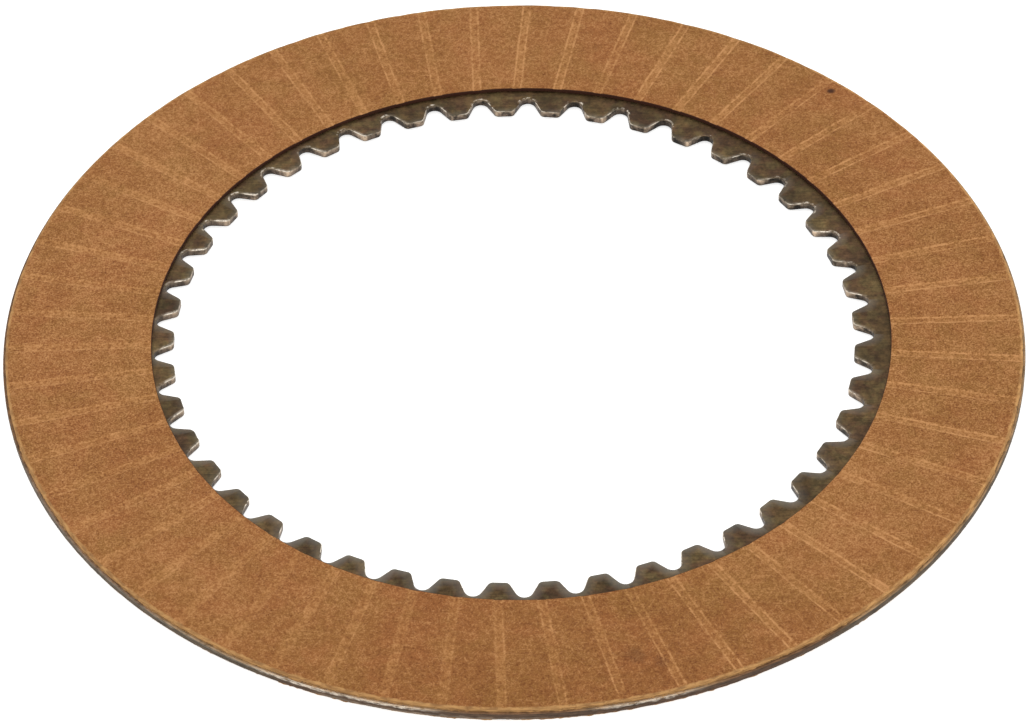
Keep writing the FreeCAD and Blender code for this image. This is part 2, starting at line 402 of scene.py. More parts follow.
def fibre_group():
    """Short thin strokes that lie in three directions."""
    net, _, result = new_group("Short fibres", ("Position",), (), ("Mask",))
    strokes = []
    for turn in (0.15, 1.2, 2.2):
        strokes.append(net.ease(net.streaks((560, 3400, 3400), 2.0, 0.5, turn), 0.60, 0.70))
    net.fill(result, {"Mask": reduce(partial(net.math, "MAXIMUM"), strokes)})


def spokes_group():
    """Place beside and along the nearest of many spokes, which all run to one centre."""
    net, given, result = new_group(
        "Spokes",
        ("Position", "Centre"),
        ("First", "Pitch", "Wander"),
        ("Off centre", "Side", "Along"),
    )
    centred = {"Position": net.position, "Centre": given["Centre"]}
    ring = net.group("Ring position", centred)
    half = net.times(given["Pitch"], 0.5)
    turned = net.plus(net.minus(ring["Angle"], given["First"]), half, 360.0)
    within = net.minus(net.math("FLOORED_MODULO", turned, given["Pitch"]), half)
    side = net.times(ring["Radius"], net.math("SINE", net.math("RADIANS", within)))
    sway = net.minus(net.grain(260.0), 0.5)
    side = net.plus(side, net.times(sway, given["Wander"]))
    off_centre = net.math("ABSOLUTE", side)
    net.fill(result, {"Off centre": off_centre, "Side": side, "Along": ring["Radius"]})


def space_root_radius(sizes):
    """Radius of the round root of a tooth space, which touches both flanks."""
    lean = sizes.flank_slope
    depth = sizes.root_radius - sizes.pitch_radius
    return (sizes.space_width / 2 * math.cos(lean) - depth * math.sin(lean)) / (1 - math.sin(lean))


def flank_end_radius(sizes):
    """Radius at which a flank runs into the round root of its space."""
    return sizes.root_radius - space_root_radius(sizes) * (1 - math.sin(sizes.flank_slope))


def start_material(name):
    """A material with its own Principled shader and object coordinates."""
    material = bpy.data.materials.new(name)
    material.use_nodes = True
    material.node_tree.nodes.clear()
    net = Net(material.node_tree)
    shader = net.add("ShaderNodeBsdfPrincipled")
    net.add("ShaderNodeOutputMaterial", {"Surface": shader.outputs["BSDF"]})
    net.position = net.add("ShaderNodeTexCoord").outputs["Object"]
    return material, net, shader


def fibre_tone(net, fibres, colours):
    """The face: reddish and ochre patches, light and dark flecks, and short fibres."""
    patches = net.pattern("Mottle", Scale=210.0, Low=0.36, High=0.64)
    regions = net.pattern("Mottle", Scale=42.0, Low=0.38, High=0.62)
    hue = net.times(net.plus(patches, regions), 0.5)
    tone = net.blend(hue, colours.facing_red, colours.facing_ochre)
    tone = net.blend(0.20, tone, colours.facing)
    darks, lights, dots = (
        net.pattern("Flecks", shift, Scale=scale, Cut=cut, Edge=edge, Clustering=clustering)
        for shift, scale, cut, edge, clustering in (
            ((0, 0, 0), 1500.0, 0.62, 0.08, 0.25),
            ((0.31, 0.17, 0.05), 1800.0, 0.60, 0.10, 0.20),
            ((0.7, 0.4, 0.1), 1000.0, 0.725, 0.03, 0.10),
        )
    )
    for mask, share, speckle in (
        (darks, 0.50, colours.facing_dark),
        (lights, 0.36, colours.facing_light),
        (fibres, 0.34, colours.facing_light),
        (dots, 0.75, colours.facing_dark),
    ):
        tone = net.blend(net.times(mask, share), tone, speckle)
    return tone, darks


def groove_masks(net, sizes):
    """The paler bed of each groove, and its two thin, broken, pale edges."""
    lines = net.group(
        "Spokes",
        {
            "Position": net.position,
            "Centre": (sizes.groove_across, sizes.groove_along, 0),
            "First": math.degrees(sizes.first_groove),
            "Pitch": 360 / sizes.groove_count,
            "Wander": 0.3 * MM,
        },
    )
    off_centre = lines["Off centre"]
    half = sizes.groove_width / 2
    bed = net.ease(off_centre, half - 0.05 * MM, half + 0.25 * MM, 1.0, 0.0)
    bed = net.times(bed, net.ease(net.grain(240.0), 0.3, 0.7, 0.35, 1.0))
    edge = net.band(off_centre, half - 0.28 * MM, half + 0.02 * MM, 0.12 * MM)
    patchy = net.ease(net.grain(170.0), 0.34, 0.60, 0.35, 1.0)
    broken = net.ease(net.grain(1000.0), 0.34, 0.62, 0.15, 1.0)
    return bed, net.times(edge, patchy, broken)


def shade_face(net, tone, flat, grains, masks, colours):
    """Lights and darks of the whole face: grain at five sizes, and broad painted light and shade,
    darker towards the front edge and lighter at the lower right and the far left.
    """
    bed, edge = masks
    crisp = net.ramp(flat["X"], -80 * MM, 80 * MM, 0.62, 1.35)
    dull = net.ease(net.distance(-38 * MM, -74 * MM), 20 * MM, 60 * MM, 0.35, 1.0)
    worn = net.ease(net.math("ABSOLUTE", flat["Y"]), 10 * MM, 70 * MM, 1.35, 0.85)
    fine, coarse = (net.minus(grain, 0.5) for grain in grains)
    lights = [
        net.times(bed, 0.15),
        net.times(edge, crisp, dull, 0.80),
        net.times(fine, worn, 2.4),
        net.times(coarse, 1.25),
    ]
    for scale, share in ((430.0, 0.52), (150.0, 0.46), (50.0, 0.22)):
        cloud = net.minus(net.grain(scale, 1.0), 0.5)
        lights.append(net.times(cloud, share))
    # Broad painted light and shade: darker towards the front edge, lighter at the lower right and
    # at the far left.
    for across, along, reach, change in (
        (8.0, -90.0, 70.0, -0.24),
        (46.0, -40.0, 32.0, 0.12),
        (-64.0, 34.0, 60.0, 0.07),
    ):
        away = net.distance(across * MM, along * MM)
        lights.append(net.ease(away, 0.0, reach * MM, change, 0.0))
    gain = net.plus(*lights)
    for strength, pull in ((1.1, colours.facing_light), (-1.1, colours.facing_dark)):
        tone = net.blend(net.math("MULTIPLY", gain, strength, clamp=True), tone, pull)
    return tone


def cut_edges(net, tone, darks, sizes, colours):
    """The layered rim with painted light towards +X and painted shade at its foot, and the
    scorched wall of the bore.
    """
    ring = net.ring()
    layers = net.streaks((500, 500, 5200), 3.0, 0.6)
    cut_tone = net.blend(net.ease(layers, 0.35, 0.65), colours.cut_edge, colours.cut_dark)
    cut_tone = net.blend(net.times(darks, 0.3), cut_tone, colours.facing_dark)
    # Painted light: the cut edge grows lighter towards +X.
    across = net.parts(net.position)["X"]
    cut_tone = net.tint(cut_tone, net.ease(across, 20 * MM, 80 * MM, 1.0, 1.20))
    ragged = net.minus(net.grain(900.0, 3.0), 0.5)
    inside = net.minus(sizes.rim_radius, ring["Radius"])
    inside = net.plus(inside, net.times(ragged, 0.7 * MM))
    on_rim = net.ease(inside, 0.22 * MM, 0.62 * MM, 1.0, 0.0)
    tone = net.blend(on_rim, tone, cut_tone)
    # Painted shade where the facing's rim meets the steel, in the scorched colour.
    foot = UPPER_LOW.z - MIDDLE_HEIGHT
    from_middle = net.math("ABSOLUTE", net.minus(ring["Height"], MIDDLE_HEIGHT))
    from_middle = net.plus(from_middle, net.times(ragged, 0.35 * MM))
    burnt = net.ease(from_middle, foot - 0.01 * MM, foot + 0.09 * MM, 0.18, 0.0)
    tone = net.blend(net.times(burnt, on_rim), tone, colours.burnt)
    bore = net.distance(sizes.bore_across, sizes.bore_along)
    from_bore = net.minus(bore, sizes.bore_radius)
    in_bore = net.ease(from_bore, 0.04 * MM, 0.16 * MM, 1.0, 0.0)
    tone = net.blend(in_bore, tone, colours.burnt)
    return tone, ragged


def marks_of_use(net, tone, ragged, colours):
    """Burnt spots, smudges and two knocks on the rim."""
    for across, along, reach, share in (
        (55.4, 59.05, 0.9, 0.9),
        (17.9, -72.7, 2.4, 0.25),
        (22.0, -74.0, 1.6, 0.2),
        (83.6, -6.1, 0.55, 0.9),
        (81.4, -19.4, 0.45, 0.8),
    ):
        away = net.distance(across * MM, along * MM)
        away = net.plus(away, net.times(ragged, 0.6 * reach * MM))
        mark = net.ease(away, 0.3 * reach * MM, reach * MM, share, 0.0)
        tone = net.blend(mark, tone, colours.burnt)
    return tone


def facing_material(sizes, colours):
    """Resin bonded fibre: speckled face with broad painted light and shade, grooves with pale
    edges, tan cut rim with painted light towards +X and painted shade at its foot, scorched bore.
    """
    material, net, shader = start_material("friction_facing")
    fine = net.grain(3500.0, 2.0, 0.6)
    coarse = net.grain(1500.0, 1.0)
    fibres = net.pattern("Short fibres")
    tone, darks = fibre_tone(net, fibres, colours)
    masks = groove_masks(net, sizes)
    tone = net.blend(net.times(masks[0], 0.30), tone, colours.groove)
    flat = net.parts(net.position)
    tone = shade_face(net, tone, flat, (fine, coarse), masks, colours)
    tone, ragged = cut_edges(net, tone, darks, sizes, colours)
    tone = marks_of_use(net, tone, ragged, colours)
    relief = net.plus(net.times(fine, 0.6), net.times(coarse, 0.5), net.times(fibres, 0.25))
    bump = net.add("ShaderNodeBump", {"Height": relief, "Strength": 0.5, "Distance": 0.06 * MM})
    net.fill(
        shader,
        {
            "Base Color": tone,
            "Roughness": net.ramp(fine, 0.2, 0.8, 0.72, 0.95),
            "Normal": bump.outputs["Normal"],
            "Specular IOR Level": 0.3,
        },
    )
    return material


def tooth_places(net, ring, sizes):
    """Where on its tooth a point lies, how far from its outline, and which way that faces."""
    teeth = net.group(
        "Spokes",
        {
            "Position": net.position,
            "First": math.degrees(sizes.first_space),
            "Pitch": 360 / sizes.tooth_count,
        },
    )
    along, off_centre = teeth["Along"], teeth["Off centre"]
    in_root = net.ease(ring["Radius"], sizes.root_radius - 1.2 * MM, sizes.root_radius - 0.4 * MM)
    at_tip = net.ease(off_centre, 2.65 * MM, 3.05 * MM)

    # The gap to the outline is the least of those to the round root, the flank and the tip.
    root_round = space_root_radius(sizes)
    from_centre = net.minus(along, sizes.root_radius - root_round)
    root_gap = net.minus(net.size(from_centre, teeth["Side"]), root_round)
    lean = sizes.flank_slope
    flank_gap = net.plus(
        net.times(net.minus(off_centre, sizes.space_width / 2), math.cos(lean)),
        net.times(net.minus(along, sizes.pitch_radius), math.sin(lean)),
    )
    flank_end = flank_end_radius(sizes)
    past_flank = net.ease(along, flank_end - 0.4 * MM, flank_end + 0.4 * MM)
    outline_gap = net.mix(past_flank, flank_gap, root_gap)
    tip_gap = net.minus(ring["Radius"], sizes.tip_radius)
    outline_gap = net.math("MINIMUM", outline_gap, tip_gap)

    # Flanks face the front or the back by their side, roots and tips by their place.
    turn = net.math("RADIANS", ring["Angle"])
    by_side = net.times(net.math("SIGN", teeth["Side"]), net.math("COSINE", turn))
    by_side = net.times(by_side, net.minus(1.0, at_tip))
    return SimpleNamespace(
        in_root=in_root,
        at_corner=net.band(off_centre, 2.10 * MM, 2.80 * MM, 0.25 * MM),
        at_tip=at_tip,
        root_gap=root_gap,
        outline_gap=outline_gap,
        to_front=net.plus(by_side, net.times(net.math("SINE", turn), 0.45)),
        before_root=net.ease(along, flank_end - 0.75 * MM, flank_end - 0.05 * MM),
    )


def rolled_tone(net, radius, speck, rolled, sizes, colours):
    """The flat faces: olive, brown and greenish stains, rolling marks and rubbed tips."""
    brown = net.pattern("Mottle", Scale=260.0, Low=0.40, High=0.62)
    green = net.pattern("Mottle", (0.4, 0.2, 0.0), Scale=420.0, Low=0.46, High=0.64)
    tone = net.blend(net.times(brown, 0.85), colours.steel_olive, colours.steel_brown)
    tone = net.blend(net.times(green, 0.70), tone, colours.steel_green)
    from_tip = net.minus(net.plus(radius, net.times(speck, 0.9 * MM)), sizes.tip_radius)
    rubbed = net.ease(from_tip, 0.2 * MM, 1.7 * MM, 0.60, 0.0)
    tone = net.blend(rubbed, tone, colours.steel_tip)
    gain = net.times(
        net.ramp(rolled, 0.3, 0.7, 0.80, 1.20),
        net.ramp(speck, 0.3, 0.7, 0.66, 1.34),
        net.ramp(net.grain(160.0, 3.0, 0.6), 0.3, 0.7, 0.62, 1.38),
        net.ramp(net.grain(620.0, 2.0, 0.55), 0.32, 0.68, 0.72, 1.30),
    )
    return net.tint(tone, gain)


def edge_sheen(net, tone, flat, tooth, speck, colours):
    """Light on the drooping edges: grey where they face the back, warm towards the front."""
    sheen = net.plus(
        net.ease(tooth.to_front, -0.1, -0.8, 0.0, 0.30),
        net.ease(flat["Y"], -15 * MM, -50 * MM, 0.0, 0.23),
        0.03,
    )
    sheen = net.times(sheen, net.ramp(tooth.outline_gap, 0.3 * MM, 1.9 * MM, 1.0, 0.0))
    tone = net.blend(sheen, tone, colours.steel_sheen)
    # Painted highlight on the edges that face the front, stronger on the left.
    warm = net.times(
        net.ease(tooth.to_front, 0.5, 0.9),
        net.ease(flat["X"], -40 * MM, 40 * MM, 0.50, 0.25),
        net.ramp(tooth.outline_gap, 0.10 * MM, 0.55 * MM, 1.0, 0.0),
        net.ease(speck, 0.35, 0.60, 0.3, 1.0),
        net.mix(tooth.before_root, 1.0, 0.2),
    )
    return net.blend(warm, tone, colours.steel_bright)


def tooth_wall_tone(net, flat, tooth, height, wavy_height, colours):
    """The walls of the teeth: a smooth sheared belt above, torn and dark below. The dark below is
    partly painted shade, the foot is darker still as painted shade, and the corners are lighter as
    painted highlight, more so to the left.
    """
    top = CORE_HIGH.z
    # The torn lower wall is darkened partly as painted shade.
    torn = net.ease(wavy_height, top - 0.60 * MM, top - 0.20 * MM, 1.0, 0.0)
    torn = net.times(torn, net.mix(tooth.at_corner, 1.0, 0.3))
    tone = net.blend(torn, colours.steel_wall, colours.steel_torn)
    streak = net.streaks((2400, 2400, 260), 2.0, 0.6)
    tone = net.tint(tone, net.ramp(streak, 0.3, 0.7, 0.60, 1.40))
    stain = net.grain(520.0, 3.0, 0.65)
    darkest = net.ease(flat["X"], -55 * MM, -20 * MM, 0.55, 0.26)
    lightest = net.ease(flat["X"], -55 * MM, -20 * MM, 1.55, 1.95)
    tone = net.tint(tone, net.ramp(stain, 0.40, 0.60, darkest, lightest))
    # Darker round the roots, and corner walls lighter as painted highlight, more so to the left.
    gain = net.plus(
        net.mix(tooth.in_root, 1.0, 0.56),
        net.times(tooth.at_corner, net.ease(flat["X"], -60 * MM, 0.0, 0.25, -0.05)),
    )
    oily_gain = net.plus(net.times(tooth.at_corner, 0.75), 0.48)
    from_oil = net.ease(net.distance(42 * MM, 40 * MM), 14 * MM, 38 * MM)
    oily_gain = net.mix(from_oil, oily_gain, 1.0)
    # Painted shade: the wall darkens towards its foot by the floor.
    foot = net.ease(height, CORE_LOW.z + 0.10 * MM, CORE_LOW.z + 0.40 * MM, 0.60, 1.0)
    return net.tint(tone, net.times(gain, oily_gain, foot)), streak, stain


def rim_arcs(net, angle):
    """Masks of the arcs of the rim that are grey, dusty, rubbed silver or pale at the foot."""
    arcs = []
    for spans in (
        ((-190.0, -117.0, 1.0), (-54.0, 75.0, 1.0), (130.0, 190.0, 1.0)),
        ((-132.0, -98.0, 1.0), (-83.0, -69.0, 1.0), (-52.0, 40.0, 1.0)),
        ((-119.0, -100.0, 1.0), (-81.0, -72.0, 0.9), (-160.0, -120.0, 0.2)),
        ((-112.0, -88.0, 1.0), (-60.0, -38.0, 0.5)),
    ):
        masks = [
            net.times(net.band(angle, start, end, 3.0), share) for start, end, share in spans
        ]
        arcs.append(reduce(partial(net.math, "MAXIMUM"), masks))
    return arcs


def rim_tone(net, height, wavy_height, arcs, colours):
    """The rim: a dark wall, reddish at the front, below a ledge dusty in places."""
    grey, dusty, _, pale = arcs
    wall = net.blend(grey, colours.rim_red, colours.rim_grey)
    ledge = net.blend(dusty, colours.ledge_red, colours.ledge_dusty)
    on_ledge = net.ease(height, CORE_HIGH.z - 0.16 * MM, CORE_HIGH.z - 0.04 * MM)
    tone = net.blend(on_ledge, wall, ledge)
    belt = net.ease(wavy_height, CORE_LOW.z + 0.25 * MM, CORE_LOW.z + 0.60 * MM, 0.8, 0.0)
    tone = net.blend(net.times(belt, pale), tone, colours.steel_wall)
    spotted = net.streaks((420, 420, 3600), 3.0, 0.65)
    return net.tint(tone, net.ramp(spotted, 0.32, 0.68, 0.50, 1.55))


def rubbed_edge(net, flat, tooth, height, speck, stain):
    """Burnished edge with painted highlight: bright along the rubbed roll, stronger on the left
    and weaker to the right, with a painted highlight beside the roots at the far side, broken up
    by scale and oil.
    """
    top = CORE_HIGH.z
    patches = net.ease(net.grain(380.0, 2.0, 0.6), 0.41, 0.53)
    # Painted highlight along the roll: stronger on the left and weaker to the right.
    on_left = net.ease(flat["X"], -30 * MM, -52 * MM, 0.0, 0.75)
    keep_root = net.ease(flat["X"], -45 * MM, -20 * MM, 0.15, 1.0)
    rub_and_highlight = net.times(
        net.math("MAXIMUM", patches, on_left),
        net.ease(net.grain(1700.0), 0.32, 0.50),
        net.mix(tooth.in_root, 1.0, 0.05),
        net.mix(tooth.before_root, 1.0, keep_root),
        net.ease(flat["X"], -40 * MM, 40 * MM, 1.0, 0.80),
        net.mix(tooth.at_tip, 1.0, 0.28),
        net.mix(tooth.at_corner, 1.0, 0.75),
        net.band(height, top - 0.14 * MM, top - 0.018 * MM, 0.012 * MM),
    )
    # Painted highlight beside the roots, stronger towards the far side.
    root_rub_and_highlight = net.times(
        net.band(tooth.root_gap, 0.10 * MM, 0.40 * MM, 0.08 * MM),
        tooth.in_root,
        net.ease(flat["Y"], 5 * MM, 35 * MM, 0.10, 1.0),
        net.ease(speck, 0.42, 0.62, 0.0, 0.8),
        net.ease(stain, 0.42, 0.58),
    )
    return net.math("MAXIMUM", rub_and_highlight, root_rub_and_highlight)


def scuffed_rim(net, wavy_height, silver):
    """Silvery rubbing on the upper part of the rim's wall."""
    scuffs = net.streaks((900, 900, 2600), 3.0, 0.7)
    reach = net.ease(wavy_height, CORE_HIGH.z - 0.55 * MM, CORE_HIGH.z - 0.25 * MM)
    return net.times(silver, net.ease(scuffs, 0.30, 0.60), reach)


def steel_material(sizes, colours):
    """Oiled rolled steel, with burnished edges and painted highlights on them, painted reflections
    on the drooping edges, sheared walls with painted shade below, and a scuffed rim.
    """
    material, net, shader = start_material("core_steel")
    ring = net.ring()
    flat = net.parts(net.position)
    height = ring["Height"]
    rolled = net.streaks((160, 3000, 3000), 3.0, 0.6)
    speck = net.grain(1900.0, 3.0, 0.65)
    uneven = net.minus(net.grain(700.0, 3.0), 0.5)
    wavy_height = net.plus(height, net.times(uneven, 1.0 * MM))
    tooth = tooth_places(net, ring, sizes)
    arcs = rim_arcs(net, ring["Angle"])

    tone = rolled_tone(net, ring["Radius"], speck, rolled, sizes, colours)
    tone = edge_sheen(net, tone, flat, tooth, speck, colours)
    wall, streak, stain = tooth_wall_tone(net, flat, tooth, height, wavy_height, colours)
    on_wall = net.ease(height, CORE_HIGH.z - 0.15 * MM, CORE_HIGH.z - 0.05 * MM, 1.0, 0.0)
    tone = net.blend(on_wall, tone, wall)
    on_rim = net.ease(ring["Radius"], sizes.rim_radius - 0.5 * MM, sizes.rim_radius - 0.25 * MM)
    tone = net.blend(on_rim, tone, rim_tone(net, height, wavy_height, arcs, colours))
    rub_and_highlight = rubbed_edge(net, flat, tooth, height, speck, stain)
    # The bright colour, low roughness and metal mark burnish and painted highlight alike.
    shine = net.mix(on_rim, rub_and_highlight, scuffed_rim(net, wavy_height, arcs[2]))
    share = net.times(shine, net.mix(on_rim, 0.95, 0.55))
    tone = net.blend(share, tone, colours.steel_bright)

    rough = net.plus(net.ramp(speck, 0.25, 0.75, 0.36, 0.56), net.times(on_rim, 0.34))
    metal = net.minus(0.85, net.times(on_rim, 0.55))
    relief = net.times(net.plus(speck, rolled), 0.5)
    relief = net.plus(relief, net.times(streak, on_wall, 1.2))
    bump = net.add("ShaderNodeBump", {"Height": relief, "Strength": 0.35, "Distance": 0.03 * MM})
    net.fill(
        shader,
        {
            "Base Color": tone,
            "Roughness": net.mix(shine, rough, 0.20),
            "Metallic": net.math("MAXIMUM", metal, shine),
            "Normal": bump.outputs["Normal"],
        },
    )
    return material


def add_mesh(bm, name, material):
    """Puts a finished mesh into the scene with its material."""
    mesh = bpy.data.meshes.new(name)
    bm.to_mesh(mesh)
    bm.free()
    mesh.materials.append(material)
    piece = bpy.data.objects.new(name, mesh)
    bpy.context.scene.collection.objects.link(piece)
    return piece


def finish_piece(bm, name, node, material):
    """Makes the object, smooths it, and lets it ride and stand for its CAD node."""
    bmesh.ops.recalc_face_normals(bm, faces=bm.faces)
    for face in bm.faces:
        face.smooth = True
    piece = add_mesh(bm, name, material)
    piece.data.set_sharp_from_angle(angle=SMOOTH_UP_TO)
    weigh = piece.modifiers.new("Flat faces stay flat", "WEIGHTED_NORMAL")
    weigh.keep_sharp = True
    weigh.weight = 80
    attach(piece, "root")
    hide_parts(node)


def corners_of(parts):
    """The corners among some parts of a mesh."""
    return [part for part in parts if isinstance(part, bmesh.types.BMVert)]


def spin(bm, geom, turn, steps, centre=(0, 0, 0), merge=False, duplicate=False):
    """Turns some parts about an upright axis and gives the last ones."""
    return bmesh.ops.spin(
        bm,
        geom=geom,
        cent=centre,
        axis=Z_AXIS,
        dvec=(0, 0, 0),
        angle=turn,
        steps=steps,
        use_merge=merge,
        use_normal_flip=False,
        use_duplicate=duplicate,
    )["geom_last"]


def round_off(bm, parts, offset, segments, affect="EDGES"):
    """Rounds some edges or corners."""
    bmesh.ops.bevel(
        bm,
        geom=parts,
        offset=offset,
        offset_type="OFFSET",
        segments=segments,
        profile=0.5,
        affect=affect,
        clamp_overlap=False,
        material=-1,
    )


def two_waves(place, first, second, share, shift=Vector((0, 0, 0))):
    """Noise of two sizes, given in waves per metre, moved by a shift."""
    return noise.noise(place * first + shift) + share * noise.noise(place * second + shift)


# Steel core


def sweep(bm, corner, centre, turn, steps):
    """Draws an arc from a corner about a centre and gives the arc's last corner."""
    return corners_of(spin(bm, [corner], turn, steps, centre))[0]


def draw_half_space(bm, sizes):
    """Half a tooth space that opens along +X, from the middle of a tooth to the root."""
    half_pitch = math.pi / sizes.tooth_count
    lean = sizes.flank_slope
    along = Vector((math.cos(lean), math.sin(lean), 0))
    inward = Vector((math.sin(lean), -math.cos(lean), 0))
    on_flank = Vector((sizes.pitch_radius, -sizes.space_width / 2, 0))
    beside = on_flank + inward * sizes.tip_round
    reach = sizes.tip_radius + sizes.tip_round
    slide = beside.dot(along)
    corner = beside + along * (math.sqrt(slide**2 - beside.length_squared + reach**2) - slide)
    corner_turn = -math.atan2(corner.y, corner.x)
    root_round = space_root_radius(sizes)
    root = Vector((sizes.root_radius - root_round, 0, 0))
    middle = bm.verts.new(Matrix.Rotation(-half_pitch, 3, "Z") @ Vector((sizes.tip_radius, 0, 0)))
    at = sweep(bm, middle, (0, 0, 0), half_pitch - corner_turn, TIP_STEPS)
    at = sweep(bm, at, corner, corner_turn + lean - math.pi / 2, CORNER_STEPS)
    run = (root + inward * root_round - at.co) / FLANK_STEPS
    for _ in range(FLANK_STEPS):
        grown = bmesh.ops.extrude_vert_indiv(bm, verts=[at])
        at = grown["verts"][0]
        bmesh.ops.translate(bm, verts=[at], vec=run)
    sweep(bm, at, root, math.pi / 2 - lean, ROOT_STEPS)


def grow_ring(bm, edges, radius):
    """Extrudes a loop of edges outwards on to a circle and gives the new loop."""
    grown = bmesh.ops.extrude_edge_only(bm, edges=edges)["geom"]
    for corner in corners_of(grown):
        corner.co.xy *= radius / corner.co.xy.length
    return [part for part in grown if isinstance(part, bmesh.types.BMEdge)]


def edges_where(bm, test):
    """The edges whose two corners both pass a test."""
    return [edge for edge in bm.edges if all(test(corner.co) for corner in edge.verts)]


def build_core(sizes):
    """The plate: one tooth space repeated round, filled out to the rim and given its edges."""
    bm = bmesh.new()
    draw_half_space(bm, sizes)
    bmesh.ops.mirror(
        bm, geom=bm.verts[:] + bm.edges[:], matrix=Matrix.Identity(4), merge_dist=MERGE, axis="Y"
    )
    bmesh.ops.rotate(
        bm, verts=bm.verts, cent=(0, 0, 0), matrix=Matrix.Rotation(sizes.first_space, 3, "Z")
    )
    pitch = 2 * math.pi / sizes.tooth_count
    outline = bm.verts[:] + bm.edges[:]
    spin(bm, outline, 2 * math.pi - pitch, sizes.tooth_count - 1, duplicate=True)
    bmesh.ops.remove_doubles(bm, verts=bm.verts, dist=5 * MERGE)
    loop = grow_ring(bm, bm.edges[:], sizes.root_radius + 1.1 * MM)
    grow_ring(bm, loop, sizes.rim_radius)
    bmesh.ops.translate(bm, verts=bm.verts, vec=(0, 0, CORE_LOW.z))
    bmesh.ops.recalc_face_normals(bm, faces=bm.faces)
    raised = bmesh.ops.extrude_face_region(bm, geom=bm.faces[:])["geom"]
    bmesh.ops.translate(bm, verts=corners_of(raised), vec=(0, 0, CORE_HIGH.z - CORE_LOW.z))
    bmesh.ops.recalc_face_normals(bm, faces=bm.faces)
    walls = [edge for edge in bm.edges if abs(edge.verts[0].co.z - edge.verts[1].co.z) > MM]
    bmesh.ops.subdivide_edges(bm, edges=walls, cuts=3, use_grid_fill=True)
    in_bore = sizes.root_radius + 0.5 * MM
    on_rim = sizes.rim_radius - 0.5 * MM
    top = CORE_HIGH.z - MERGE
    bottom = CORE_LOW.z + MERGE
    sharp = edges_where(bm, lambda co: co.z > top and not in_bore < co.xy.length < on_rim)
    round_off(bm, sharp, sizes.edge_roll, 4)
    sharp = edges_where(bm, lambda co: co.z < bottom and not in_bore < co.xy.length < on_rim)
    round_off(bm, sharp, sizes.burr_side, 2)
    wear_core(bm, sizes)
    return bm


def wear_core(bm, sizes):
    """Lets the torn walls wander and knocks nicks into the upper edges."""
    chance = random.Random(45)
    pitch = 2 * math.pi / sizes.tooth_count
    nicks = []
    for _ in range(sizes.nick_count):
        tooth = chance.randrange(sizes.tooth_count)
        turn = sizes.first_space + (tooth + 0.5 + chance.uniform(-0.2, 0.2)) * pitch
        reach = sizes.tip_radius + abs(chance.gauss(0, 0.5)) * MM
        place = Vector((reach * math.cos(turn), reach * math.sin(turn), CORE_HIGH.z))
        nicks.append((place, chance.uniform(0.25, 0.6) * MM, chance.uniform(0.3, 1.0)))
    for corner in bm.verts:
        co = corner.co
        radius = co.xy.length
        outward = Vector((co.x, co.y, 0)) / radius
        below = min(1.0, max(0.0, (CORE_HIGH.z - 0.15 * MM - co.z) / (0.4 * MM)))
        if radius < sizes.root_radius + 0.4 * MM:
            wander = two_waves(co, 420, 1300, 0.5)
            corner.co += outward * abs(wander) * sizes.wall_wander * below
        elif radius > sizes.rim_radius - 0.3 * MM:
            wander = two_waves(co, 300, 1100, 0.6)
            corner.co -= outward * abs(wander) * sizes.wall_wander * (0.3 + below)
        for place, size, share in nicks:
            gap = (co - place).length
            if gap < size and co.z < CORE_HIGH.z - 0.01 * MM:
                fall = (1 - gap / size) ** 2
                corner.co += (outward - Z_AXIS) * sizes.nick_depth * share * fall * 0.7


# Facings


def build_facing(sizes):
    """The upper facing: a cross-section spun round, its bore set off centre, and grooved."""
    bm = bmesh.new()
    low = UPPER_LOW.z
    high = UPPER_HIGH.z
    section = [
        bm.verts.new((radius, 0, height))
        for radius, height in (
            (sizes.bore_radius, low),
            (sizes.rim_radius, low),
            (sizes.rim_radius, high),
            (sizes.bore_radius, high),
        )
    ]
    face = bm.faces.new(section)
    for corner, offset, segments in (
        (section[2], sizes.shoulder, 4),
        (section[3], sizes.bore_break, 2),
    ):
        round_off(bm, [corner], offset, segments, "VERTICES")
    walls = [edge for edge in bm.edges if abs(edge.verts[0].co.x - edge.verts[1].co.x) < MERGE]
    bmesh.ops.subdivide_edges(bm, edges=walls, cuts=2)
    bmesh.ops.delete(bm, geom=bm.faces[:], context="FACES_ONLY")
    outline = bm.verts[:] + bm.edges[:]
    spin(bm, outline, 2 * math.pi, sizes.groove_count * STEPS_PER_GROOVE, merge=True)
    bmesh.ops.remove_doubles(bm, verts=bm.verts, dist=MERGE)
    middle = (sizes.bore_radius + sizes.rim_radius) / 2
    bmesh.ops.translate(
        bm,
        verts=[corner for corner in bm.verts if corner.co.xy.length < middle],
        vec=(sizes.bore_across, sizes.bore_along, 0),
    )
    cut_grooves(bm, sizes, high)
    bmesh.ops.recalc_face_normals(bm, faces=bm.faces)
    return bm


